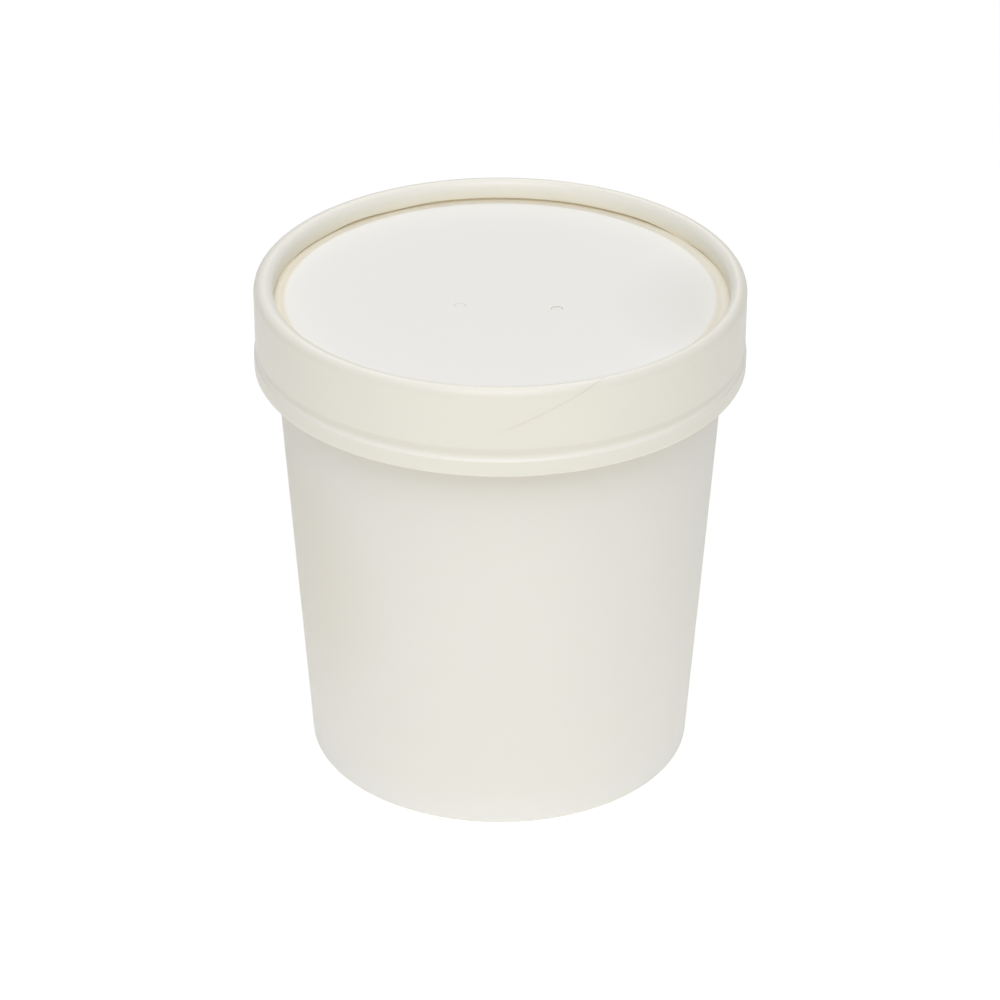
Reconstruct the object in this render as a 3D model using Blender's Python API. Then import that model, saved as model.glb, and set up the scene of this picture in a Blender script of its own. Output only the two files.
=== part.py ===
"""Paper soup cup with its vented paper lid pressed on.

Three separate pieces, each a closed solid in its own object:

cup       tapered paper cup, shut and therefore solid, with its rolled rim hidden under the lid
          and a base that is set up inside the foot ring
lid_ring  strip wound round the lid: folded hem, upright skirt and the rolled ridge along its top
lid_disc  top panel: a flat plateau with two round vent holes, a shallow moat round it, and an edge
          turned up inside the ridge

Units are metres and +Z is up. The origin is the middle of the ring that the foot stands on.
"""

import math

import bmesh
import bpy
from mathutils import Vector

# Cup wall: a cone whose outer radius grows evenly with height.
FOOT_RADIUS = 0.03975
WALL_TAPER = 0.066  # radius gained for each metre of height
FOOT_ROUNDING = 0.0004

# Foot: the wall turned in round the base panel, which leaves a shallow recess underneath.
FOOT_RING_WIDTH = 0.0013
BASE_PANEL_HEIGHT = 0.0065

# Rim: the wall's top edge rolled outwards into a bead.
BEAD_RADIUS = 0.00145
BEAD_CENTRE_RADIUS = 0.0470
BEAD_TOP = 0.0998
FILL_TOP = 0.0991  # flat top of the shut cup, just under the lid's panel

# Lid strip: one thickness of board, doubled along the hem.
LID_BOARD = 0.00045
SKIRT_RADIUS = 0.04957
HEM_RADIUS = 0.04984
HEM_INNER_RADIUS = 0.04885
HEM_BOTTOM = 0.0867
HEM_TOP = 0.0904  # upper edge of the hem's outer face
LEDGE_RADIUS = 0.04952  # inner edge of the slanting ledge on top of the hem
LEDGE_RISE = 0.00035
GROOVE_HEIGHT = 0.0920
GROOVE_DEPTH = 0.00014
GROOVE_TOP = 0.0927

# Ridge: the strip's top edge rolled over inwards, its end slanting down and out to a lip.
RIDGE_TOP = 0.1051
RIDGE_INNER_RADIUS = 0.04555
LIP_RADIUS = 0.0463
LIP_HEIGHT = 0.10115

# Top panel: a plateau, a rounded shoulder down to a moat, and a rise to the turned-up edge.
PANEL_TOP = 0.10115
PANEL_BOARD = 0.00045
SHOULDER_RADIUS = 0.0433
SHOULDER_ROUNDING = 0.0030
MOAT_RADIUS = 0.0449
MOAT_DEPTH = 0.0010
MOAT_ROUNDING = 0.0015
EDGE_HEIGHT = 0.1010
FLANGE_INNER_RADIUS = 0.04735
FLANGE_TOP = 0.1024

VENT_RADIUS = 0.00115
VENT_CENTRES = ((-0.00807, -0.00497), (0.01132, -0.00599))
VENT_CUTTER_HEIGHT = 0.004

SEGMENTS = 72  # facets round the axis of every turned piece
VENT_SEGMENTS = 24
MERGE_DISTANCE = 1e-6
SHARP_ANGLE = math.radians(40)

CUP_COLOUR = (0.80, 0.78, 0.73, 1.0)
RING_COLOUR = (0.81, 0.79, 0.73, 1.0)
DISC_COLOUR = (0.82, 0.81, 0.77, 1.0)


def clear_scene():
    """Remove whatever objects the open file holds."""
    for thing in list(bpy.data.objects):
        bpy.data.objects.remove(thing, do_unlink=True)


def paper(name, colour, roughness):
    """Return a Principled material for one of the coated papers."""
    material = bpy.data.materials.new(name)
    material.use_nodes = True
    shader = material.node_tree.nodes["Principled BSDF"]
    shader.inputs["Base Color"].default_value = colour
    shader.inputs["Roughness"].default_value = roughness
    shader.inputs["Metallic"].default_value = 0.0
    return material


def arc(centre_radius, centre_height, radius, start_degrees, end_degrees, steps):
    """Return steps + 1 profile points along a circular arc, both ends included."""
    points = []
    for step in range(steps + 1):
        angle = math.radians(start_degrees + (end_degrees - start_degrees) * step / steps)
        across = centre_radius + radius * math.cos(angle)
        up = centre_height + radius * math.sin(angle)
        points.append((across, up))
    return points


def fillet(before, corner, after, radius, steps):
    """Return steps + 1 points of the arc that rounds a corner between its two neighbours."""
    corner = Vector(corner)
    back = (Vector(before) - corner).normalized()
    ahead = (Vector(after) - corner).normalized()
    half = back.angle(ahead) / 2
    middle = corner + (back + ahead).normalized() * radius / math.sin(half)
    first = corner + back * radius / math.tan(half) - middle
    last = corner + ahead * radius / math.tan(half) - middle
    turn = math.pi - 2 * half
    points = []
    for step in range(steps + 1):
        angle = turn * step / steps
        spoke = (first * math.sin(turn - angle) + last * math.sin(angle)) / math.sin(turn)
        points.append(tuple(middle + spoke))
    return points


def turned(name, profile, material, closed):
    """Spin an (across, up) profile once round Z and return it as an object.

    A closed profile makes a ring. An open one starts and ends on the axis.
    """
    shape = bmesh.new()
    outline = [shape.verts.new((across, 0.0, up)) for across, up in profile]
    following = outline[1:] + outline[:1] if closed else outline[1:]
    edges = [shape.edges.new(pair) for pair in zip(outline, following)]
    bmesh.ops.spin(
        shape,
        geom=outline + edges,
        cent=(0.0, 0.0, 0.0),
        axis=(0.0, 0.0, 1.0),
        angle=2 * math.pi,
        steps=SEGMENTS,
        use_duplicate=False,
    )
    bmesh.ops.remove_doubles(shape, verts=shape.verts, dist=MERGE_DISTANCE)
    bmesh.ops.recalc_face_normals(shape, faces=shape.faces)
    mesh = bpy.data.meshes.new(name)
    shape.to_mesh(mesh)
    shape.free()
    mesh.shade_smooth()
    mesh.set_sharp_from_angle(angle=SHARP_ANGLE)
    mesh.materials.append(material)
    piece = bpy.data.objects.new(name, mesh)
    bpy.context.collection.objects.link(piece)
    return piece


def wall_radius(height):
    """Outer radius of the cup's wall at a height."""
    return FOOT_RADIUS + WALL_TAPER * height


def bead_profile():
    """Rolled rim: from where it leaves the flat fill, over the top, to where it meets the wall."""
    bead_height = BEAD_TOP - BEAD_RADIUS
    fill_angle = 180 - math.degrees(math.asin((FILL_TOP - bead_height) / BEAD_RADIUS))
    wall_angle = -120
    return arc(BEAD_CENTRE_RADIUS, bead_height, BEAD_RADIUS, fill_angle, wall_angle, 10)


def foot_profile():
    """Foot ring: down the last of the wall, round both edges, and up inside to the base panel."""
    ring_inner = FOOT_RADIUS - FOOT_RING_WIDTH
    outer_edge = arc(FOOT_RADIUS - FOOT_ROUNDING, FOOT_ROUNDING, FOOT_ROUNDING, 0, -90, 3)
    inner_edge = arc(ring_inner + FOOT_ROUNDING, FOOT_ROUNDING, FOOT_ROUNDING, -90, -180, 3)
    recess_top = ring_inner + WALL_TAPER * BASE_PANEL_HEIGHT
    return outer_edge + inner_edge + [(recess_top, BASE_PANEL_HEIGHT), (0.0, BASE_PANEL_HEIGHT)]


def make_cup():
    """Shut cup: flat top, rolled rim, tapered wall, foot ring and the recess under the base."""
    bead = bead_profile()
    under_bead = bead[-1][1] - FOOT_ROUNDING
    wall_top = [(wall_radius(under_bead), under_bead)]
    profile = [(0.0, FILL_TOP)] + bead + wall_top + foot_profile()
    return turned("cup", profile, paper("cup paper", CUP_COLOUR, 0.5), closed=False)


def hem_profile():
    """Hem: folded lower edge of the strip, the ledge on top of it, then the groove under the skirt."""
    half_width = (HEM_RADIUS - HEM_INNER_RADIUS) / 2
    middle = HEM_INNER_RADIUS + half_width
    fold = arc(middle, HEM_BOTTOM + half_width, half_width, 180, 360, 6)
    ledge = [(HEM_RADIUS, HEM_TOP), (LEDGE_RADIUS, HEM_TOP + LEDGE_RISE)]
    groove = [(SKIRT_RADIUS - GROOVE_DEPTH, GROOVE_HEIGHT), (SKIRT_RADIUS, GROOVE_TOP)]
    return fold + ledge + groove


def ridge_profile():
    """Ridge: rolled over the top of the strip, out along a slant to the lip, and back up inside.

    The roll is a circle as wide as the ridge. It ends where a straight line to the lip touches it.
    """
    roll = (SKIRT_RADIUS - RIDGE_INNER_RADIUS) / 2
    centre = RIDGE_INNER_RADIUS + roll
    height = RIDGE_TOP - roll
    inwards = centre - LIP_RADIUS
    down = height - LIP_HEIGHT
    slant = math.atan2(down, inwards) - math.acos(roll / math.hypot(inwards, down))
    end_angle = 180 + math.degrees(slant)
    over = arc(centre, height, roll, 0, end_angle, 14)
    lip_back = (LIP_RADIUS + LID_BOARD * math.cos(slant), LIP_HEIGHT + LID_BOARD * math.sin(slant))
    back = arc(centre, height, roll - LID_BOARD, end_angle, 0, 7)
    return over + [(LIP_RADIUS, LIP_HEIGHT), lip_back] + back


def make_lid_ring():
    """Strip of the lid: hem, skirt and ridge as one bent board."""
    skirt_inside = SKIRT_RADIUS - LID_BOARD
    fold_end = [(skirt_inside, HEM_TOP + LID_BOARD), (HEM_INNER_RADIUS, HEM_TOP)]
    profile = hem_profile() + ridge_profile() + fold_end
    return turned("lid_ring", profile, paper("lid strip paper", RING_COLOUR, 0.45), closed=True)


def panel_top_face():
    """Top face of the panel past its plateau: shoulder, moat and the rise to the turned-up edge."""
    middle = (0.0, PANEL_TOP)
    shoulder = (SHOULDER_RADIUS, PANEL_TOP)
    moat = (MOAT_RADIUS, PANEL_TOP - MOAT_DEPTH)
    edge = (FLANGE_INNER_RADIUS, EDGE_HEIGHT)
    over = fillet(middle, shoulder, moat, SHOULDER_ROUNDING, 3)
    under = fillet(shoulder, moat, edge, MOAT_ROUNDING, 3)
    return over + under + [edge]


def panel_profile():
    """Section of the top panel, out along its top face and back along its underside."""
    flange_outer = FLANGE_INNER_RADIUS + PANEL_BOARD
    flange = [
        (FLANGE_INNER_RADIUS, FLANGE_TOP),
        (flange_outer, FLANGE_TOP),
        (flange_outer, EDGE_HEIGHT - PANEL_BOARD / 2),
    ]
    top_face = panel_top_face()
    underside = [(across, up - PANEL_BOARD) for across, up in reversed(top_face)]
    return [(0.0, PANEL_TOP)] + top_face + flange + underside + [(0.0, PANEL_TOP - PANEL_BOARD)]


def vent_cutter(number, centre):
    """Hidden upright cylinder that cuts one vent hole."""
    shape = bmesh.new()
    bmesh.ops.create_cone(
        shape,
        cap_ends=True,
        segments=VENT_SEGMENTS,
        radius1=VENT_RADIUS,
        radius2=VENT_RADIUS,
        depth=VENT_CUTTER_HEIGHT,
    )
    mesh = bpy.data.meshes.new(f"vent_cutter_{number}")
    shape.to_mesh(mesh)
    shape.free()
    cutter = bpy.data.objects.new(mesh.name, mesh)
    cutter.location = (centre[0], centre[1], PANEL_TOP)
    cutter.hide_render = True
    cutter.display_type = "WIRE"
    bpy.context.collection.objects.link(cutter)
    return cutter


def make_lid_disc():
    """Top panel of the lid with its two vents."""
    material = paper("lid panel paper", DISC_COLOUR, 0.5)
    disc = turned("lid_disc", panel_profile(), material, closed=False)
    for number, centre in enumerate(VENT_CENTRES, start=1):
        cut = disc.modifiers.new(f"vent {number}", "BOOLEAN")
        cut.operation = "DIFFERENCE"
        cut.solver = "EXACT"
        cut.object = vent_cutter(number, centre)
    return disc


def main():
    """Model the whole cup under one empty that stands at the origin."""
    clear_scene()
    stand = bpy.data.objects.new("soup_cup", None)
    bpy.context.collection.objects.link(stand)
    for piece in (make_cup(), make_lid_ring(), make_lid_disc()):
        piece.parent = stand


main()
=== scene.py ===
"""Looks of a shut paper soup cup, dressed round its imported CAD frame.

Every surface is worked out as whole numpy arrays: an outline in the (across, up) half plane is carried
round the upright axis, and small reliefs are added along the outline's own normals. Lengths are metres.
Azimuths are radians, measured from the front (-Y) towards the right (+X).
"""

import logging
import math
from collections.abc import Sequence
from dataclasses import dataclass, field, replace
from enum import Enum

import bpy
import numpy as np
from mathutils import Matrix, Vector
from numpy.typing import NDArray

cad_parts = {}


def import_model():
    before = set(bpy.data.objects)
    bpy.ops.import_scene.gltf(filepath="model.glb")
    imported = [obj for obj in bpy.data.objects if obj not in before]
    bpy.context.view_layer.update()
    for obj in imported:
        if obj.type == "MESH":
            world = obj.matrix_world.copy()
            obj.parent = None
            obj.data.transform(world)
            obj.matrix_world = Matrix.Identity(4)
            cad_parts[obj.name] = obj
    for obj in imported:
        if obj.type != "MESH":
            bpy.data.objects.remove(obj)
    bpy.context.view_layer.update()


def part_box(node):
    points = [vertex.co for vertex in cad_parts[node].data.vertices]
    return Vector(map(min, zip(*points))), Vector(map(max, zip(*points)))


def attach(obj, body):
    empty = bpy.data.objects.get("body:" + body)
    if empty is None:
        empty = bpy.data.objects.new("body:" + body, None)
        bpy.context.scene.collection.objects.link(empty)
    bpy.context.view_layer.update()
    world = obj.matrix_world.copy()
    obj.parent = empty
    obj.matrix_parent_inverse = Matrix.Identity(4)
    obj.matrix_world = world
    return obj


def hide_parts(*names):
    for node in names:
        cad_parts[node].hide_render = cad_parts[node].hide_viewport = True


log = logging.getLogger("soup_cup")

Array = NDArray[np.float64]
Colour = tuple[float, float, float]
Place = tuple[float, float, float]
Wave = tuple[int, float, float]

BODY = "root"
MICRON = 1e-6
FULL_TURN = 2 * math.pi
# Largest turn between two points of a rounding.
ARC_STEP = math.radians(9)
# Edges that turn by more than this are shaded as sharp.
SHARP_ANGLE = math.radians(32)
# Width of the face of a wound sheet's cut edge.
CUT_FACE = 30 * MICRON
# Columns of a vent's punch and of its flap.
VENT_COLUMNS = 64
WHITE: Colour = (1.0, 1.0, 1.0)
# Numbers of the Mix node's sockets for the factor, both colours and the result, as some share a name.
MIX_INPUTS = (0, 6, 7)
MIX_RESULT = 2


class Ends(Enum):
    """How an outline that is carried round the axis finishes."""

    LOOP = "closes on itself, as a ring's section does"
    POLES = "runs from the axis to the axis, as a solid cup's section does"


class Grain(Enum):
    """What the fibres of a sheet follow."""

    WOUND = "the piece's own UV map, for board wound round the axis"
    FLAT = "the object's coordinates, for board that lies flat"


class Slot(Enum):
    """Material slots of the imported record."""

    CUP = "cup_paper"
    STRIP = "lid_strip_paper"
    PANEL = "lid_panel_paper"


@dataclass(frozen=True)
class Corner:
    """A corner of an outline and the radius of the arc that rounds it."""

    across: float
    up: float
    radius: float = 0.0


def ease(low: float, high: float, value: Array) -> Array:
    """Smooth step: 0 up to low, 1 from high on, and 3t^2 - 2t^3 between, t being the share of the way."""
    share = np.clip((value - low) / (high - low), 0.0, 1.0)
    return share * share * (3.0 - 2.0 * share)


def unit(vector: Array) -> Array:
    """The vector scaled to length 1."""
    return vector / np.linalg.norm(vector)


def rounded_corner(before: Array, at: Array, after: Array, radius: float) -> Array:
    """Arc that rounds one corner of an outline.

    The arc touches both sides: it starts radius / tan(half the inner angle) from the corner, its middle
    lies radius / sin(half the inner angle) away along the bisector, and its points are the spherical
    blend of the first and last spoke.

    Args:
        before: The corner before this one.
        at: This corner.
        after: The corner after this one.
        radius: Radius of the arc.

    Returns:
        Points along the arc, both ends included.
    """
    back = unit(before - at)
    ahead = unit(after - at)
    half = 0.5 * math.acos(float(np.clip(back @ ahead, -1.0, 1.0)))
    middle = at + unit(back + ahead) * radius / math.sin(half)
    first_spoke = at + back * radius / math.tan(half) - middle
    last_spoke = at + ahead * radius / math.tan(half) - middle
    turn = math.pi - 2 * half
    share = np.linspace(0.0, 1.0, max(3, math.ceil(turn / ARC_STEP)) + 1)[:, None]
    spokes = np.sin((1.0 - share) * turn) * first_spoke + np.sin(share * turn) * last_spoke
    return middle + spokes / math.sin(turn)


def outline_through(corners: Sequence[Corner], ends: Ends, spacing: float) -> Array:
    """Outline that runs straight between corners and rounds those that have a radius.

    Args:
        corners: The corners, counter-clockwise in the (across, up) half plane.
        ends: Whether the outline closes on itself or runs from pole to pole.
        spacing: Largest distance between points on the straight stretches.

    Returns:
        The outline's points, one (across, up) row each.
    """
    places = np.array([(corner.across, corner.up) for corner in corners])
    bends = []
    for number, corner in enumerate(corners):
        at = places[number]
        if corner.radius == 0.0:
            bends.append(at[None, :])
            continue
        following = places[(number + 1) % len(corners)]
        bends.append(rounded_corner(places[number - 1], at, following, corner.radius))
    stretches = []
    last = len(bends) if ends is Ends.LOOP else len(bends) - 1
    for number in range(last):
        start = bends[number][-1]
        end = bends[(number + 1) % len(bends)][0]
        steps = max(1, math.ceil(float(np.linalg.norm(end - start)) / spacing))
        between = start + (end - start) * (np.arange(1, steps) / steps)[:, None]
        stretches += [bends[number], between]
    if ends is Ends.POLES:
        stretches.append(bends[-1])
    return np.vstack(stretches)


def outline_normals(outline: Array, ends: Ends) -> Array:
    """Unit normals of an outline, pointing out of the material.

    A normal is the chord from the point before to the point after, turned a quarter clockwise.

    Args:
        outline: The outline's points, one (across, up) row each.
        ends: How the outline finishes.

    Returns:
        One unit normal for each point.
    """
    if ends is Ends.LOOP:
        chord = np.roll(outline, -1, axis=0) - np.roll(outline, 1, axis=0)
    else:
        chord = np.gradient(outline, axis=0)
    normal = np.column_stack((chord[:, 1], -chord[:, 0]))
    return normal / np.linalg.norm(normal, axis=1, keepdims=True)


def running_length(outline: Array) -> Array:
    """Length along the outline from its first point to each point."""
    steps = np.linalg.norm(np.diff(outline, axis=0), axis=1)
    return np.concatenate(([0.0], np.cumsum(steps)))


def columns_from_cut(count: int, cut_width: float) -> Array:
    """Turns, in radians from a cut edge, of a sheet's columns.

    Args:
        count: How many even columns there are round the axis.
        cut_width: Width, in radians, of the face of the cut edge, which closes the ring.

    Returns:
        Even turns from 0, and one more column just before the full turn, at the top of the cut's face.
    """
    return np.append(np.linspace(0.0, FULL_TURN, count, endpoint=False), FULL_TURN - cut_width)


def even_turns(outline: Array, columns: int) -> Array:
    """Turns, in radians from the front, of a grid with even columns and the outline's rows."""
    return np.repeat(np.linspace(0.0, FULL_TURN, columns, endpoint=False)[:, None], len(outline), axis=1)


def carry_round(
    outline: Array, normals: Array, azimuth: Array, relief: Array, spread: Array, lift: Array
) -> Array:
    """Surface of an outline carried round the upright axis.

    A point is the outline's own point, moved by the relief along its normal, by the spread straight out
    and by the lift straight up, then turned about Z: x = across * sin(azimuth), y = -across *
    cos(azimuth), z = up.

    Args:
        outline: (rows, 2) points of the outline.
        normals: (rows, 2) unit normals of the outline.
        azimuth: (columns, rows) turn of each grid point from the front.
        relief: (columns, rows) distance along the normal.
        spread: (columns, rows) distance straight out from the axis.
        lift: (columns, rows) distance straight up.

    Returns:
        (columns, rows, 3) grid of points.
    """
    across = outline[:, 0] + relief * normals[:, 0] + spread
    up = outline[:, 1] + relief * normals[:, 1] + lift
    return np.stack((across * np.sin(azimuth), -across * np.cos(azimuth), up), axis=-1)


def grid_faces(columns: int, rows: int, ends: Ends) -> tuple[Array, Array]:
    """Corner columns and rows of a wrapped grid's faces.

    Args:
        columns: Columns round the axis. The last one joins the first.
        rows: Rows along the outline.
        ends: Whether the last row joins the first.

    Returns:
        Two (faces, 4) integer arrays: each corner's column, not yet wrapped, and its row.
    """
    spans = rows if ends is Ends.LOOP else rows - 1
    column, row = np.meshgrid(np.arange(columns), np.arange(spans), indexing="ij")
    column = column.reshape(-1, 1) + np.array([0, 1, 1, 0])
    row = row.reshape(-1, 1) + np.array([0, 0, 1, 1])
    return column, row


def sheet_object(name: str, grid: Array, ends: Ends, chart: Array) -> bpy.types.Object:
    """Mesh object of a wrapped grid, with its UV map.

    Rows at a pole are one vertex, and the faces round it are triangles.

    Args:
        name: Name of the piece.
        grid: (columns, rows, 3) points.
        ends: How the outline finishes.
        chart: (columns + 1, rows, 2) flat place of each grid point in metres, the last column being the
            first one again after a full turn.

    Returns:
        The new object, at the origin, in the scene.
    """
    columns, rows = grid.shape[:2]
    column, row = grid_faces(columns, rows, ends)
    wrapped_row = row % rows
    vertex = (column % columns) * rows + wrapped_row
    points = grid.reshape(-1, 3)
    kept = np.ones(len(points), dtype=bool)
    corners_kept = np.ones(vertex.shape, dtype=bool)
    if ends is Ends.POLES:
        for pole in (0, rows - 1):
            vertex[wrapped_row == pole] = pole
            kept[pole::rows] = False
            kept[pole] = True
        corners_kept[row[:, 0] == 0, 1] = False
        corners_kept[row[:, 3] == rows - 1, 3] = False
    new_number = np.cumsum(kept) - 1
    sizes = corners_kept.sum(axis=1)
    mesh = bpy.data.meshes.new(name)
    mesh.vertices.add(int(kept.sum()))
    mesh.vertices.foreach_set("co", points[kept].ravel())
    mesh.loops.add(int(sizes.sum()))
    mesh.loops.foreach_set("vertex_index", new_number[vertex[corners_kept]])
    mesh.polygons.add(len(sizes))
    mesh.polygons.foreach_set("loop_start", np.concatenate(([0], np.cumsum(sizes)[:-1])))
    mesh.update(calc_edges=True)
    flat = chart[column, wrapped_row]
    mesh.uv_layers.new(name="sheet").data.foreach_set("uv", flat[corners_kept].ravel())
    mesh.validate()
    mesh.shade_smooth()
    mesh.set_sharp_from_angle(angle=SHARP_ANGLE)
    piece = bpy.data.objects.new(name, mesh)
    bpy.context.collection.objects.link(piece)
    return piece


def turned_sheet(
    name: str,
    outline: Array,
    ends: Ends,
    azimuth: Array,
    relief: Array | float = 0.0,
    spread: Array | float = 0.0,
    lift: Array | float = 0.0,
) -> bpy.types.Object:
    """Object of an outline carried round the axis, charted by turn and by length along the outline.

    Args:
        name: Name of the piece.
        outline: (rows, 2) points of the outline.
        ends: How the outline finishes.
        azimuth: (columns, rows) turn of each grid point, rising from column to column.
        relief: Distance along the outline's normal, for all points or for each.
        spread: Distance straight out from the axis, for all points or for each.
        lift: Distance straight up, for all points or for each.

    Returns:
        The new object.
    """
    flat = np.zeros_like(azimuth)
    normals = outline_normals(outline, ends)
    grid = carry_round(outline, normals, azimuth, flat + relief, flat + spread, flat + lift)
    around = np.vstack((azimuth, azimuth[:1] + FULL_TURN)) * outline[:, 0].max()
    along = np.broadcast_to(running_length(outline), around.shape)
    return sheet_object(name, grid, ends, np.stack((around, along), axis=-1))


def ripple(azimuth: Array, waves: Sequence[Wave]) -> Array:
    """Uneven wave round the axis: the sum of size * sin(count * azimuth + start) over the waves.

    Args:
        azimuth: Turn of each point.
        waves: Count, size and start of each wave.

    Returns:
        The wave's height at each point.
    """
    total = np.zeros_like(azimuth)
    for count, size, start in waves:
        total += size * np.sin(count * azimuth + start)
    return total


class NodeSheet:
    """The nodes of one material, added and joined in short calls."""

    def __init__(self, name: str) -> None:
        """Start a material that holds a Principled shader and its output.

        Args:
            name: Name of the material.
        """
        self.material = bpy.data.materials.new(name)
        self.material.use_nodes = True
        self.tree = self.material.node_tree
        self.shader = self.tree.nodes["Principled BSDF"]

    def add(
        self, kind: str, inputs: dict[str | int, object] | None = None, **settings: object
    ) -> bpy.types.Node:
        """Add a node.

        Args:
            kind: The node's type name without its ShaderNode prefix.
            inputs: Socket names or numbers, with the socket to join to each or its fixed value.
            **settings: The node's own properties.

        Returns:
            The new node.
        """
        node = self.tree.nodes.new("ShaderNode" + kind)
        for key, value in settings.items():
            setattr(node, key, value)
        for socket, value in (inputs or {}).items():
            self.feed(node, socket, value)
        return node

    def feed(self, node: bpy.types.Node, socket: str | int, value: object) -> None:
        """Join an output to a node's input, or set the input's value.

        Args:
            node: The node that is fed.
            socket: Name or number of its input.
            value: The output to join, or the value to set.
        """
        if isinstance(value, bpy.types.NodeSocket):
            self.tree.links.new(value, node.inputs[socket])
        else:
            node.inputs[socket].default_value = value

    def mix(self, factor: object, first: object, second: object, blend: str = "MIX") -> bpy.types.NodeSocket:
        """Mix two colours.

        Args:
            factor: How much of the second colour there is.
            first: The first colour, or the output that gives it.
            second: The second colour, or the output that gives it.
            blend: How the second colour is laid on the first.

        Returns:
            The mixed colour's output.
        """
        node = self.add("Mix", data_type="RGBA", blend_type=blend)
        for socket, value in zip(MIX_INPUTS, (factor, first, second)):
            self.feed(node, socket, value)
        return node.outputs[MIX_RESULT]

    def fading(self, point: bpy.types.NodeSocket, middle: Place, reach: float) -> bpy.types.NodeSocket:
        """Share that is 1 within half the reach of a middle and falls evenly to 0 at the whole reach.

        Args:
            point: Where the surface is.
            middle: Where the share is largest.
            reach: How far it goes.

        Returns:
            The share's output.
        """
        away = self.add("VectorMath", {0: point, 1: middle}, operation="DISTANCE")
        limits = {"Value": away.outputs["Value"], 1: reach / 2, 2: reach, 3: 1.0, 4: 0.0}
        return self.add("MapRange", limits).outputs[0]


@dataclass(frozen=True)
class FleckAndShadeSpot:
    """A round spot on the board, small or wide: a small one is a fleck in the board, a wide one is painted
    shade. It holds where it is, how far it goes, and its tone.
    """

    place: Place
    radius: float
    tone: Colour

    def cover(self, sheet: NodeSheet) -> bpy.types.NodeSocket:
        """Where the spot lies."""
        return sheet.fading(sheet.add("TexCoord").outputs["Object"], self.place, self.radius)


@dataclass(frozen=True)
class PaintedLightRing:
    """A ring round the axis of painted light and shade, which multiplies the board's colour by a tone."""

    radius: float
    height: float
    reach: float
    tone: Colour

    def cover(self, sheet: NodeSheet) -> bpy.types.NodeSocket:
        """Where the ring lies, by distance from its circle.

        Args:
            sheet: The material's nodes.

        Returns:
            The ring's share, from 0 to 1.
        """
        here = sheet.add("TexCoord").outputs["Object"]
        flat = sheet.add("VectorMath", {0: here, 1: (1.0, 1.0, 0.0)}, operation="MULTIPLY")
        radius = sheet.add("VectorMath", {0: flat.outputs[0]}, operation="LENGTH").outputs["Value"]
        height = sheet.add("SeparateXYZ", {0: here}).outputs["Z"]
        section = sheet.add("CombineXYZ", {0: radius, 1: height})
        return sheet.fading(section.outputs[0], (self.radius, self.height, 0.0), self.reach)


@dataclass(frozen=True)
class PaintedShadowLine:
    """A straight darker line on a sheet's chart: painted shadow along an overlapping sheet's cut edge.

    It runs along = start + slope * around, and shows between two lengths along the chart.
    """

    start: float
    slope: float
    width: float
    low: float
    high: float
    fade: float
    tone: Colour

    def cover(self, sheet: NodeSheet) -> bpy.types.NodeSocket:
        """Where the line shows: near it, and fading out at both its ends.

        Args:
            sheet: The material's nodes.

        Returns:
            The line's share, from 0 to 1.
        """
        chart = sheet.add("SeparateXYZ", {0: sheet.add("TexCoord").outputs["UV"]})
        along = chart.outputs["Y"]
        around = {0: chart.outputs["X"], 1: self.slope, 2: self.start}
        line = sheet.add("Math", around, operation="MULTIPLY_ADD")
        off = sheet.add("Math", {0: along, 1: line.outputs[0]}, operation="SUBTRACT")
        off = sheet.add("Math", {0: off.outputs[0]}, operation="ABSOLUTE")
        near = {"Value": off.outputs[0], 1: self.width / 2, 2: self.width, 3: 1.0, 4: 0.0}
        low = {"Value": along, 1: self.low, 2: self.low + self.fade}
        high = {"Value": along, 1: self.high - self.fade, 2: self.high, 3: 1.0, 4: 0.0}
        cover = sheet.add("MapRange", near).outputs[0]
        for limits in (low, high):
            end = sheet.add("MapRange", limits).outputs[0]
            cover = sheet.add("Math", {0: cover, 1: end}, operation="MULTIPLY").outputs[0]
        return cover


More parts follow.
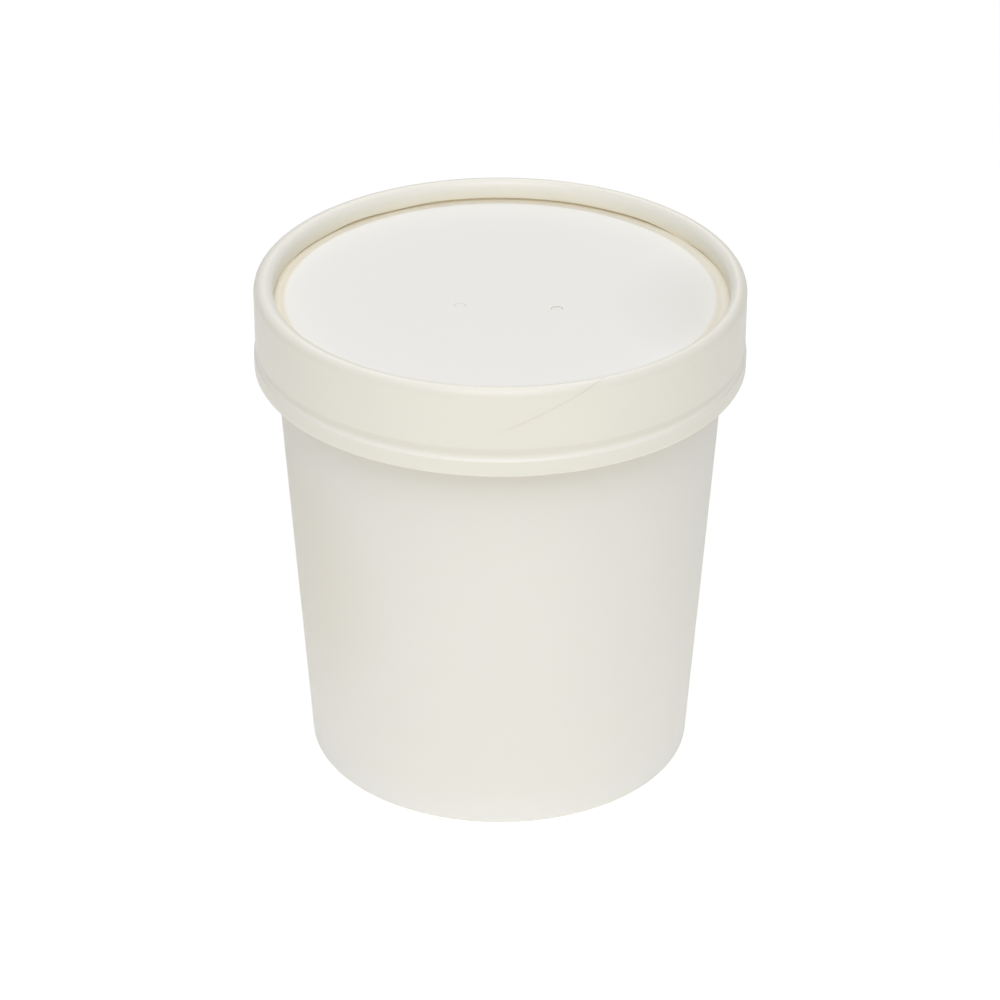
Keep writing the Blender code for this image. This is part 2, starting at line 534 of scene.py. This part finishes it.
@dataclass(frozen=True)
class PaperFinish:
    """Coated white board: fibres, mottling, a warm painted shade in its hollows and a soft satin.

    The painted shade colour shows where the surface sees little of the sky within painted_shade_reach:
    fully at the shut share, not at all at the open share, and nowhere below painted_shade_above.
    """

    name: str
    colour: Colour
    # Painted shade: the colour laid on in hollows, corners and under overhangs.
    painted_shade_colour: Colour
    roughness: float
    grain: Grain
    fibre_length: float = 0.0011
    fibre_width: float = 0.00028
    fibre_depth: float = 0.000012
    mottle_size: float = 0.008
    mottle_strength: float = 0.35
    mottle_tint: Colour = (1.0, 0.985, 0.955)
    roughness_spread: float = 0.05
    cloud_low: float = 0.3
    cloud_high: float = 0.7
    # Where the painted shade shows: its reach, its full and open sky shares, its lowest height, its rays.
    painted_shade_reach: float = 0.006
    painted_shade_shut: float = 0.2
    painted_shade_open: float = 0.78
    painted_shade_above: float = -1.0
    painted_shade_fade: float = 0.02
    painted_shade_rays: int = 8
    shine: float = 0.35
    # Flecks in the board, and rings, spots and lines of painted light and shade.
    marks: tuple[PaintedLightRing | FleckAndShadeSpot | PaintedShadowLine, ...] = ()

    def material(self) -> bpy.types.Material:
        """Make the finish.

        Returns:
            The finish as a node material.
        """
        sheet = NodeSheet(self.name)
        place = sheet.add("TexCoord").outputs["UV" if self.grain is Grain.WOUND else "Object"]
        sheet.feed(sheet.shader, "Base Color", self.folded(sheet, self.marked(sheet, place)))
        sheet.feed(sheet.shader, "Roughness", self.satin(sheet, place))
        sheet.feed(sheet.shader, "Normal", self.fibres(sheet, place))
        sheet.feed(sheet.shader, "Specular IOR Level", self.shine)
        return sheet.material

    def marked(self, sheet: NodeSheet, place: bpy.types.NodeSocket) -> bpy.types.NodeSocket:
        """Faintly mottled board, multiplied by the tone of each mark where that lies: flecks in the board,
        and rings, spots and lines of painted light and shade.

        Args:
            sheet: The material's nodes.
            place: Coordinates, in metres, that the mottling follows.

        Returns:
            The board's colour.
        """
        tint = tuple(channel * factor for channel, factor in zip(self.colour, self.mottle_tint))
        mottle = sheet.add("TexNoise", {"Vector": place, "Scale": 1 / self.mottle_size, "Detail": 3.0})
        share = sheet.add("Math", {0: mottle.outputs["Fac"], 1: self.mottle_strength}, operation="MULTIPLY")
        board = sheet.mix(share.outputs[0], (*self.colour, 1.0), (*tint, 1.0))
        for mark in self.marks:
            board = sheet.mix(mark.cover(sheet), board, (*mark.tone, 1.0), "MULTIPLY")
        return board

    # Painted shade: a darker, warmer colour where nearby surfaces hem the board in.
    def folded(self, sheet: NodeSheet, board: bpy.types.NodeSocket) -> bpy.types.NodeSocket:
        """Board that takes the painted shade colour where the surface sees little of the sky.

        Args:
            sheet: The material's nodes.
            board: The board's colour outside the painted shade.

        Returns:
            The colour of the whole board.
        """
        sky = sheet.add("AmbientOcclusion", {"Distance": self.painted_shade_reach}, samples=self.painted_shade_rays)
        limits = {"Value": sky.outputs["AO"], 1: self.painted_shade_shut, 2: self.painted_shade_open, 3: 0.0, 4: 1.0}
        open_share = sheet.add("MapRange", limits)
        height = sheet.add("SeparateXYZ", {0: sheet.add("TexCoord").outputs["Object"]}).outputs["Z"]
        low, high = self.painted_shade_above, self.painted_shade_above + self.painted_shade_fade
        below = sheet.add("MapRange", {"Value": height, 1: low, 2: high, 3: 1.0, 4: 0.0})
        plain = sheet.add("Math", {0: open_share.outputs[0], 1: below.outputs[0]}, operation="MAXIMUM")
        return sheet.mix(plain.outputs[0], (*self.painted_shade_colour, 1.0), board)

    def satin(self, sheet: NodeSheet, place: bpy.types.NodeSocket) -> bpy.types.NodeSocket:
        """Roughness, which varies a little with the coating.

        Args:
            sheet: The material's nodes.
            place: Coordinates, in metres, that the coating follows.

        Returns:
            The roughness.
        """
        cloud = sheet.add("TexNoise", {"Vector": place, "Scale": 2 / self.mottle_size, "Detail": 4.0})
        low, high = self.roughness - self.roughness_spread, self.roughness + self.roughness_spread
        limits = {"Value": cloud.outputs["Fac"], 1: self.cloud_low, 2: self.cloud_high, 3: low, 4: high}
        return sheet.add("MapRange", limits).outputs[0]

    def fibres(self, sheet: NodeSheet, place: bpy.types.NodeSocket) -> bpy.types.NodeSocket:
        """Fine relief that the board's fibres leave under the coating.

        Args:
            sheet: The material's nodes.
            place: Coordinates, in metres, that the fibres follow.

        Returns:
            The normal.
        """
        scale = (1 / self.fibre_length, 1 / self.fibre_width, 1 / self.fibre_width)
        along = sheet.add("Mapping", {"Vector": place, "Scale": scale})
        felt = sheet.add("TexNoise", {"Vector": along.outputs[0], "Scale": 1.0, "Detail": 3.0})
        relief = {"Height": felt.outputs["Fac"], "Distance": self.fibre_depth, "Strength": 1.0}
        return sheet.add("Bump", relief).outputs[0]


CUP_BOARD = PaperFinish(
    name="cup board",
    colour=(0.882, 0.868, 0.810),
    # Painted shade: warm and darker where the wall is hemmed in, as under the lid's hem; none below 45 mm.
    painted_shade_colour=(0.84, 0.765, 0.57),
    roughness=0.5,
    grain=Grain.WOUND,
    painted_shade_reach=0.012,
    painted_shade_open=0.95,
    painted_shade_above=0.045,
    marks=(
        # Painted light from the floor: the wall paler and bluer towards the foot.
        PaintedLightRing(0.0400, 0.0, 0.0075, (1.0, 1.007, 1.03)),
        # A fleck in the board.
        FleckAndShadeSpot((-0.0277, -0.0347, 0.0545), 0.00022, (0.48, 0.44, 0.37)),
        # Painted shade: the wall's left side a little darker and warmer.
        FleckAndShadeSpot((-0.0460, -0.0120, 0.0500), 0.0360, (0.975, 0.96, 0.925)),
    ),
)

STRIP_BOARD = PaperFinish(
    name="lid strip board",
    colour=(0.885, 0.867, 0.775),
    # Painted shade: warm and darker in the ridge's hollows and other tight places.
    painted_shade_colour=(0.93, 0.85, 0.60),
    roughness=0.38,
    grain=Grain.WOUND,
    painted_shade_open=0.68,
    shine=0.5,
    marks=(
        # Painted light and shade: the ridge's inner side lighter, a cool highlight on the ridge's crown,
        # a highlight on the hem's upper edge and shade in the groove.
        PaintedLightRing(0.0450, 0.1028, 0.0028, (1.11, 1.122, 1.155)),
        PaintedLightRing(0.0476, 0.1056, 0.0026, (1.005, 1.005, 1.035)),
        PaintedLightRing(0.0498, 0.0904, 0.0006, (1.08, 1.09, 1.14)),
        PaintedLightRing(0.0495, 0.0919, 0.0009, (0.945, 0.94, 0.935)),
    ),
)

PANEL_BOARD = PaperFinish(
    name="lid panel board",
    colour=(0.885, 0.880, 0.858),
    # Painted shade: warm and darker in the moat and under the ridge's lip.
    painted_shade_colour=(0.82, 0.755, 0.61),
    roughness=0.5,
    grain=Grain.FLAT,
    painted_shade_shut=0.45,
    painted_shade_open=0.80,
    marks=(
        # Painted shade: the moat darker, and the right side of the panel a little darker.
        PaintedLightRing(0.0450, 0.1008, 0.0019, (0.855, 0.838, 0.81)),
        FleckAndShadeSpot((0.0540, -0.0060, 0.1010), 0.0320, (0.925, 0.925, 0.915)),
    ),
)


def dress(piece: bpy.types.Object, finish: bpy.types.Material, slot: Slot, *nodes: str) -> None:
    """Give a piece its material and its body, and let it stand for CAD nodes.

    Args:
        piece: The finished piece.
        finish: Its material.
        slot: Not used.
        *nodes: The CAD nodes that the piece replaces.
    """
    piece.data.materials.append(finish)
    if nodes:
        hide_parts(*nodes)
    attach(piece, BODY)
    log.info("%s: %d faces", piece.name, len(piece.data.polygons))


@dataclass
class CupBody:
    """The tapered cup: wall with its side seam, rolled rim, foot ring and raised base."""

    finish: PaperFinish
    # The wall, the foot ring and the base.
    foot_radius: float = 0.03975
    taper: float = 0.066
    board: float = 0.00038
    foot_rounding: float = 0.0004
    foot_ring_width: float = 0.0013
    base_height: float = 0.0065
    base_gap: float = 0.00006
    base_columns: int = 225
    # The rolled rim under the lid.
    bead_radius: float = 0.00145
    bead_centre_radius: float = 0.0470
    bead_outer_share: float = 0.95
    bead_inner_share: float = 0.4
    fill_drop: float = 0.0007
    # The side seam's double thickness, and how far in from the wall the outside's reliefs fade out.
    seam_azimuth: float = math.radians(176)
    seam_overlap: float = 0.0070
    seam_ramp: float = 0.0018
    seam_foot_fade: float = 0.0006
    seam_top_gap: float = 0.003
    seam_top_fade: float = 0.001
    outside_starts: float = 0.0006
    outside_full: float = 0.0002
    # The marks that the rolling tool leaves inside the foot ring.
    knurl_count: int = 150
    knurl_depth: float = 0.00006
    knurl_starts: float = 0.0008
    knurl_full: float = 0.0016
    columns: int = 450
    row_spacing: float = 0.0016
    swell: tuple[Wave, ...] = ((2, 40e-6, 0.7), (3, 25e-6, 2.0), (5, 14e-6, 4.1))
    top: float = field(init=False)

    def __post_init__(self) -> None:
        """Read the cup's height from the frame."""
        self.top = float(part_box("cup")[1][2])

    def wall_radius(self, height: float) -> float:
        """Outer radius of the wall at a height."""
        return self.foot_radius + self.taper * height

    def section(self) -> Array:
        """Outline of the wall from the middle of the recess out, up the wall, and in over the rim.

        Returns:
            The outline's points. The sheet over the recess is hidden above the base panel.
        """
        ring_inner = self.foot_radius - self.foot_ring_width
        recess_top = self.base_height + 3 * self.board
        bead_height = self.top - self.bead_radius
        bead_outer = self.bead_centre_radius + self.bead_radius
        bead_inner = self.bead_centre_radius - self.bead_radius
        under_bead = bead_height - self.bead_radius
        fill = self.top - self.fill_drop
        corners = [
            Corner(0.0, recess_top),
            Corner(ring_inner + self.taper * recess_top, recess_top, self.board),
            Corner(ring_inner, 0.0, self.foot_rounding),
            Corner(self.foot_radius, 0.0, self.foot_rounding),
            Corner(self.wall_radius(under_bead), under_bead, self.foot_rounding),
            Corner(bead_outer, under_bead, self.bead_radius * self.bead_outer_share),
            Corner(bead_outer, self.top, self.bead_radius * self.bead_outer_share),
            Corner(bead_inner, self.top, self.bead_radius * self.bead_inner_share),
            Corner(bead_inner, fill, self.board),
            Corner(0.0, fill),
        ]
        return outline_through(corners, Ends.POLES, self.row_spacing)

    def wall(self) -> bpy.types.Object:
        """Wall, foot and rim as one closed sheet.

        The relief is the seam's double thickness, a broad out-of-round swell that grows with height, and
        fine upright knurls on the inside of the foot ring.

        Returns:
            The wall.
        """
        outline = self.section()
        turns = columns_from_cut(self.columns, CUT_FACE / self.foot_radius)
        azimuth = self.seam_azimuth + np.repeat(turns[:, None], len(outline), axis=1)
        from_cut = (FULL_TURN - turns)[:, None] * self.foot_radius
        overlap = 1.0 - ease(self.seam_overlap, self.seam_overlap + self.seam_ramp, from_cut)
        overlap[0] = 0.0
        up = outline[:, 1]
        inside = self.foot_radius - outline[:, 0]
        outer = 1.0 - ease(self.outside_full, self.outside_starts, inside)
        below_top = self.top - up
        clear_of_top = ease(self.seam_top_gap, self.seam_top_gap + self.seam_top_fade, below_top)
        clear_of_ends = ease(0.0, self.seam_foot_fade, up) * clear_of_top
        seam = self.board * overlap * outer * clear_of_ends
        swell = ripple(azimuth, self.swell) * outer * ease(0.0, self.top, up)
        band = (1.0 - outer) * ease(self.knurl_starts, self.knurl_full, up) * (up < self.base_height)
        knurl = self.knurl_depth * np.sin(self.knurl_count * azimuth) * band
        return turned_sheet("cup_wall", outline, Ends.POLES, azimuth, seam + swell + knurl)

    def base(self) -> bpy.types.Object:
        """Base panel that closes the recess, its edge turned down inside the foot ring.

        Returns:
            The base.
        """
        edge = self.foot_radius - self.foot_ring_width + self.taper * self.base_height - self.base_gap
        low = self.base_height
        edge_low = low - 3 * self.board
        edge_thickness = 0.9 * self.board
        bend = 2 * self.board
        crease = 0.3 * self.board
        corners = [
            Corner(0.0, low),
            Corner(edge - bend, low, bend),
            Corner(edge - edge_thickness, edge_low, crease),
            Corner(edge, edge_low, crease),
            Corner(edge, low + self.board, bend),
            Corner(0.0, low + self.board),
        ]
        outline = outline_through(corners, Ends.POLES, self.row_spacing)
        return turned_sheet("cup_base", outline, Ends.POLES, even_turns(outline, self.base_columns))

    def build(self) -> None:
        """Make and dress the cup's two pieces."""
        finish = self.finish.material()
        dress(self.wall(), finish, Slot.CUP, "cup")
        dress(self.base(), finish, Slot.CUP)


@dataclass
class LidStrip:
    """The lid's side strip: folded hem, groove, skirt, rolled ridge and slanting lap."""

    finish: PaperFinish
    board: float = 0.00045
    skirt_radius: float = 0.04957
    # The folded hem and the small ledge over it.
    hem_width: float = 0.00099
    hem_top: float = 0.0900
    hem_rounding: float = 0.00035
    ledge_radius: float = 0.04949
    ledge_rise: float = 0.00045
    ledge_rounding: float = 0.0006
    # The groove between the hem and the skirt.
    groove_height: float = 0.0918
    groove_depth: float = 0.00015
    groove_rounding: float = 0.0012
    groove_top: float = 0.0930
    groove_top_rounding: float = 0.0010
    # A height at which the skirt is upright.
    skirt_mark: float = 0.097
    # The rolled ridge and its lower edge, the lip, which stands open at the back.
    shoulder_rounding: float = 0.00195
    ridge_inner_radius: float = 0.0461
    ridge_rounding: float = 0.0017
    ridge_shift: float = 0.0003
    rolled_full: float = 0.0462
    rolled_ends: float = 0.0491
    lip_radius: float = 0.0459
    lip_height: float = 0.10142
    lip_reach: float = 0.0015
    lip_drop: float = 0.00060
    lip_opens: float = 0.45
    lip_open: float = 1.05
    # The lap, where the strip's end lies over its start, and its slanting cut edge.
    lap_front_height: float = 0.09635
    lap_slant: float = 0.463
    lap_step: float = 0.00014
    lap_fade_low: float = 0.0925
    lap_fade_high: float = 0.0985
    lap_crest: float = 0.1046
    lap_crest_fade: float = 0.0016
    lap_settle: float = math.radians(70)
    # The painted shadow along the lap's cut edge: where it shows, its width and its tone.
    seam_low: float = 0.0960
    seam_high: float = 0.1066
    seam_fade: float = 0.0018
    seam_width: float = 0.00040
    seam_shadow_tone: Colour = (0.92, 0.915, 0.90)
    columns: int = 450
    row_spacing: float = 0.0009
    lip_waves: tuple[Wave, ...] = (
        (2, 59e-6, -0.65),
        (4, 40e-6, -2.09),
        (7, 32e-6, -1.17),
        (9, 55e-6, -3.05),
        (14, 78e-6, -1.65),
        (17, 53e-6, -1.39),
    )
    bottom: float = field(init=False)
    top: float = field(init=False)
    hem_radius: float = field(init=False)

    def __post_init__(self) -> None:
        """Read the strip's height and width from the frame."""
        low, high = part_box("lid_ring")
        self.bottom = float(low[2])
        self.top = float(high[2])
        self.hem_radius = float(high[0])

    def section(self) -> Array:
        """Outline of the strip: up its outside, over the ridge, round the lip and back down inside.

        Returns:
            The outline's points.
        """
        skirt_inside = self.skirt_radius - self.board
        hem_inside = self.hem_radius - self.hem_width
        ridge_inside = self.ridge_inner_radius + self.board
        hollow_top = self.top - self.board
        fold = 0.98 * self.hem_width / 2
        lip_rounding = 0.2 * self.board
        inner_rounding = 0.0002
        corners = [
            Corner(hem_inside, self.bottom, fold),
            Corner(self.hem_radius, self.bottom, fold),
            Corner(self.hem_radius, self.hem_top, self.hem_rounding),
            Corner(self.ledge_radius, self.hem_top + self.ledge_rise, self.ledge_rounding),
            Corner(self.skirt_radius - self.groove_depth, self.groove_height, self.groove_rounding),
            Corner(self.skirt_radius, self.groove_top, self.groove_top_rounding),
            Corner(self.skirt_radius, self.top, self.shoulder_rounding),
            Corner(self.ridge_inner_radius, self.top, self.ridge_rounding),
            Corner(self.lip_radius, self.lip_height, lip_rounding),
            Corner(self.lip_radius + self.board, self.lip_height, lip_rounding),
            Corner(ridge_inside, hollow_top, self.ridge_rounding - self.board),
            Corner(skirt_inside, hollow_top, self.shoulder_rounding - self.board),
            Corner(skirt_inside, self.hem_top + self.board, inner_rounding),
            Corner(hem_inside, self.hem_top, inner_rounding),
        ]
        return outline_through(corners, Ends.LOOP, self.row_spacing)

    def climb(self, outline: Array) -> Array:
        """Length along the board, counted so that on the upright skirt it is the height itself.

        Args:
            outline: The strip's outline.

        Returns:
            The length at each point.
        """
        length = running_length(outline)
        mark = np.array((self.skirt_radius, self.skirt_mark))
        on_skirt = int(np.argmin(np.abs(outline - mark).sum(axis=1)))
        return length - length[on_skirt] + outline[on_skirt, 1]

    def strip(self) -> bpy.types.Object:
        """The whole strip.

        The grid's columns lean with the lap, so the lap's cut edge is a column of its own: the turn is
        the column's own turn plus (climb - height at the front) / (slant * radius). The relief sinks the
        lower layer by the step at the cut, and lets it rise again over part of the circle. The ridge
        stands a little to one side. The lip's lower edge rises and falls in an uneven wave, and is
        pressed down on the panel but for the back of the lid, where -cos(azimuth) is largest.

        Returns:
            The strip.
        """
        outline = self.section()
        across, up = outline.T
        climb = self.climb(outline)
        # The lip is the lowest row near its radius: a distance sideways counts ten times.
        lip_row = int(np.argmin(up + 10 * np.abs(across - self.lip_radius)))
        leaning = np.clip(climb, self.lap_fade_low, climb[lip_row])
        lean = (leaning - self.lap_front_height) / (self.lap_slant * self.skirt_radius)
        turns = columns_from_cut(self.columns, CUT_FACE / self.skirt_radius)
        azimuth = turns[:, None] + lean[None, :]
        sunk = 1.0 - ease(0.0, self.lap_settle, turns)[:, None]
        below_crest = 1.0 - ease(self.lap_crest, self.lap_crest + self.lap_crest_fade, climb)
        shown = ease(self.lap_fade_low, self.lap_fade_high, climb) * below_crest
        relief = -self.lap_step * sunk * shown
        rolled = (1.0 - ease(self.rolled_full, self.rolled_ends, across)) * (up > self.lip_height - MICRON)
        spread = self.ridge_shift * np.sin(azimuth) * rolled
        near_lip = rolled * (1.0 - ease(self.lip_height, self.lip_height + self.lip_reach, up))
        open_share = ease(self.lip_opens, self.lip_open, -np.cos(azimuth))
        lift = (ripple(azimuth, self.lip_waves) - self.lip_drop * (1.0 - open_share)) * near_lip
        return turned_sheet("lid_strip", outline, Ends.LOOP, azimuth, relief, spread, lift)

    def seam(self) -> PaintedShadowLine:
        """Painted shadow along the lap's cut edge, as a line on the strip's chart.

        Returns:
            The line.
        """
        outline = self.section()
        offset = float(running_length(outline)[0] - self.climb(outline)[0])
        return PaintedShadowLine(
            self.lap_front_height + offset,
            self.lap_slant * self.skirt_radius / float(outline[:, 0].max()),
            self.seam_width,
            self.seam_low + offset,
            self.seam_high + offset,
            self.seam_fade,
            self.seam_shadow_tone,
        )

    def build(self) -> None:
        """Make and dress the strip."""
        # The strip's finish also gets the painted shadow line along the lap's cut edge.
        finish = replace(self.finish, marks=(*self.finish.marks, self.seam()))
        dress(self.strip(), finish.material(), Slot.STRIP, "lid_ring")


@dataclass(frozen=True)
class Vent:
    """A round vent in the panel, with the flap that was cut and pressed down in it."""

    across: float
    back: float
    dip: float
    dip_azimuth: float


@dataclass
class LidPanel:
    """The lid's flat top with its upturned edge, two punched vents and their flaps."""

    finish: PaperFinish
    board: float = 0.00045
    top: float = 0.1013
    shoulder_radius: float = 0.0433
    shoulder_rounding: float = 0.0020
    moat_radius: float = 0.0444
    moat_depth: float = 0.00050
    moat_rounding: float = 0.0012
    # The upturned edge.
    flange_inner_radius: float = 0.0464
    flange_rounding: float = 0.0003
    flange_crown: float = 0.0001
    flange_shift: float = 0.0003
    shift_starts: float = 0.0005
    # The vents, the punch that cuts them and the flaps in them.
    vent_radius: float = 0.00115
    vent_rounding: float = 0.00004
    punch_depth: float = 0.002
    punch_rise: float = 0.001
    flap_gap: float = 0.00003
    flap_sink: float = 0.00002
    flap_thickness: float = 0.00036
    columns: int = 360
    row_spacing: float = 0.0030
    vents: tuple[Vent, ...] = (
        Vent(-0.00807, -0.00530, 0.00002, math.radians(150)),
        Vent(0.01132, -0.00660, 0.00007, math.radians(180)),
    )
    flange_top: float = field(init=False)

    def __post_init__(self) -> None:
        """Read the height of the upturned edge from the frame."""
        self.flange_top = float(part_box("lid_disc")[1][2])

    def section(self) -> Array:
        """Outline of the panel: out along its underside, up the flange and back in over the moat.

        Returns:
            The outline's points.
        """
        flange_outer = self.flange_inner_radius + self.board
        moat = self.top - self.moat_depth
        corners = [
            Corner(0.0, self.top - self.board),
            Corner(self.shoulder_radius, self.top - self.board, self.shoulder_rounding),
            Corner(self.moat_radius, moat - self.board, self.moat_rounding),
            Corner(flange_outer, moat - self.board, self.flange_rounding + self.board),
            Corner(flange_outer, self.flange_top, self.flange_crown),
            Corner(self.flange_inner_radius, self.flange_top, self.flange_crown),
            Corner(self.flange_inner_radius, moat, self.flange_rounding),
            Corner(self.moat_radius, moat, self.moat_rounding),
            Corner(self.shoulder_radius, self.top, self.shoulder_rounding),
            Corner(0.0, self.top),
        ]
        return outline_through(corners, Ends.POLES, self.row_spacing)

    def vent_cutter(self, number: int, vent: Vent) -> bpy.types.Object:
        """Flared punch that cuts one vent and breaks its upper edge.

        Args:
            number: Number of the vent, for the punch's name.
            vent: The vent.

        Returns:
            The punch.
        """
        flare = self.vent_radius + self.vent_rounding
        above = self.top + self.punch_rise
        below = self.top - self.punch_depth
        corners = [
            Corner(0.0, below),
            Corner(self.vent_radius, below),
            Corner(self.vent_radius, self.top - self.vent_rounding, self.vent_rounding / 2),
            Corner(flare, self.top, self.vent_rounding / 2),
            Corner(flare, above),
            Corner(0.0, above),
        ]
        outline = outline_through(corners, Ends.POLES, self.row_spacing)
        azimuth = even_turns(outline, VENT_COLUMNS)
        cutter = turned_sheet(f"vent_cutter_{number}", outline, Ends.POLES, azimuth)
        cutter.data.transform(Matrix.Translation((vent.across, vent.back, 0.0)))
        return cutter

    def panel(self) -> bpy.types.Object:
        """The panel, its turned-up edge a little to one side, with its vents cut through.

        Returns:
            The panel.
        """
        outline = self.section()
        azimuth = even_turns(outline, self.columns)
        edge = ease(self.moat_radius - self.shift_starts, self.flange_inner_radius, outline[:, 0])
        spread = self.flange_shift * np.sin(azimuth) * edge
        panel = turned_sheet("lid_panel", outline, Ends.POLES, azimuth, spread=spread)
        for number, vent in enumerate(self.vents, start=1):
            cutter = self.vent_cutter(number, vent)
            cut = panel.modifiers.new(f"vent {number}", "BOOLEAN")
            cut.operation = "DIFFERENCE"
            cut.solver = "EXACT"
            cut.object = cutter
            with bpy.context.temp_override(object=panel, active_object=panel):
                bpy.ops.object.modifier_apply(modifier=cut.name)
            bpy.data.objects.remove(cutter, do_unlink=True)
        panel.data.shade_smooth()
        panel.data.set_sharp_from_angle(angle=SHARP_ANGLE)
        return panel

    def flap(self, number: int, vent: Vent) -> bpy.types.Object:
        """Flap of one vent: a small disc that hangs on one side and dips on the other.

        Args:
            number: Number of the vent, for the flap's name.
            vent: The vent.

        Returns:
            The flap.
        """
        radius = self.vent_radius - self.flap_gap
        corners = [
            Corner(0.0, -self.flap_thickness),
            Corner(radius, -self.flap_thickness, self.vent_rounding),
            Corner(radius, 0.0, self.vent_rounding),
            Corner(0.0, 0.0),
        ]
        outline = outline_through(corners, Ends.POLES, radius / 4)
        flap = turned_sheet(f"vent_flap_{number}", outline, Ends.POLES, even_turns(outline, VENT_COLUMNS))
        tilt = math.asin(vent.dip / radius)
        low_side = Matrix.Rotation(vent.dip_azimuth, 4, "Z")
        tip = low_side @ Matrix.Rotation(tilt, 4, "X") @ low_side.inverted()
        middle = (vent.across, vent.back, self.top - self.flap_sink - vent.dip)
        flap.data.transform(Matrix.Translation(middle) @ tip)
        return flap

    def build(self) -> None:
        """Make and dress the panel and its flaps."""
        finish = self.finish.material()
        dress(self.panel(), finish, Slot.PANEL, "lid_disc")
        for number, vent in enumerate(self.vents, start=1):
            dress(self.flap(number, vent), finish, Slot.PANEL)


@dataclass(frozen=True)
class Softbox:
    """A square studio lamp: its place, its power in watts, its colour, what it looks at and its width."""

    name: str
    place: Place
    power: float
    colour: Colour = WHITE
    target: Place = (0.0, 0.0, 0.06)
    width: float = 1.0

    def build(self) -> None:
        """Add the lamp, turned so that it faces its target."""
        lamp = bpy.data.lights.new(self.name, "AREA")
        lamp.shape = "SQUARE"
        lamp.size = self.width
        lamp.energy = self.power
        lamp.color = self.colour
        holder = bpy.data.objects.new(self.name, lamp)
        aim = np.array(self.target) - np.array(self.place)
        pitch = math.acos(-aim[2] / float(np.linalg.norm(aim)))
        turn = math.atan2(-aim[0], aim[1])
        turned = Matrix.Rotation(turn, 4, "Z") @ Matrix.Rotation(pitch, 4, "X")
        holder.matrix_world = Matrix.Translation(self.place) @ turned
        bpy.context.collection.objects.link(holder)


@dataclass
class Studio:
    """Pale floor, soft light and the camera."""

    floor_width: float = 8.0
    floor_gap: float = 20 * MICRON
    floor_colour: Colour = (0.90, 0.90, 0.90)
    floor_roughness: float = 0.8
    floor_glow: float = 0.30
    pool_glow: float = 0.10
    pool_reach: float = 0.11
    sky_strength: float = 0.13
    camera_place: Place = (0.00002, -0.67278, 0.43261)
    camera_pitch: float = math.radians(60.613)
    camera_roll: float = 0.0023
    lens: float = 133.99
    film_width: float = 36.0
    near_clip: float = 0.01
    lamps: tuple[Softbox, ...] = (
        Softbox("key", (0.0, -0.75, 1.36), 10.8),
        Softbox("front_fill", (0.0, -1.41, 0.57), 2.6, (1.0, 0.97, 0.88)),
        Softbox("overhead", (0.0, -0.05, 1.56), 4.5),
        Softbox("back_fill", (0.0, 0.96, 1.21), 6.3),
    )

    def floor(self) -> None:
        """Plain pale floor just under the foot, which glows faintly and a little more near the cup."""
        half = self.floor_width / 2
        mesh = bpy.data.meshes.new("floor")
        low = -self.floor_gap
        mesh.from_pydata(
            [(-half, -half, low), (half, -half, low), (half, half, low), (-half, half, low)],
            [],
            [(0, 1, 2, 3)],
        )
        sheet = NodeSheet("floor paper")
        sheet.feed(sheet.shader, "Base Color", (*self.floor_colour, 1.0))
        sheet.feed(sheet.shader, "Roughness", self.floor_roughness)
        sheet.feed(sheet.shader, "Emission Color", (*WHITE, 1.0))
        here = sheet.add("TexCoord").outputs["Object"]
        away = sheet.add("VectorMath", {0: here}, operation="LENGTH").outputs["Value"]
        bright = self.floor_glow + self.pool_glow
        fade = {"Value": away, 1: self.pool_reach / 2, 2: self.pool_reach, 3: bright, 4: self.floor_glow}
        sheet.feed(sheet.shader, "Emission Strength", sheet.add("MapRange", fade).outputs[0])
        mesh.materials.append(sheet.material)
        floor = bpy.data.objects.new("floor", mesh)
        bpy.context.collection.objects.link(floor)

    def sky(self) -> None:
        """Even white light from all round."""
        world = bpy.data.worlds.new("studio")
        world.use_nodes = True
        background = world.node_tree.nodes["Background"]
        background.inputs["Color"].default_value = (*WHITE, 1.0)
        background.inputs["Strength"].default_value = self.sky_strength
        bpy.context.scene.world = world

    def camera(self) -> None:
        """Camera in front of the cup, looking down on its lid."""
        eye = bpy.data.cameras.new("camera")
        eye.lens = self.lens
        eye.sensor_width = self.film_width
        eye.clip_start = self.near_clip
        holder = bpy.data.objects.new("camera", eye)
        turned = Matrix.Rotation(self.camera_pitch, 4, "X") @ Matrix.Rotation(self.camera_roll, 4, "Z")
        holder.matrix_world = Matrix.Translation(self.camera_place) @ turned
        bpy.context.collection.objects.link(holder)
        bpy.context.scene.camera = holder

    def build(self) -> None:
        """Set the whole studio up."""
        bpy.context.scene.view_settings.view_transform = "Standard"
        self.floor()
        self.sky()
        self.camera()
        for lamp in self.lamps:
            lamp.build()
        log.info("studio: %d lamps", len(self.lamps))


def main() -> None:
    """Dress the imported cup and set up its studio."""
    logging.basicConfig(level=logging.INFO, format="%(name)s: %(message)s")
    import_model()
    CupBody(CUP_BOARD).build()
    LidStrip(STRIP_BOARD).build()
    LidPanel(PANEL_BOARD).build()
    Studio().build()


if __name__ == "__main__":
    main()
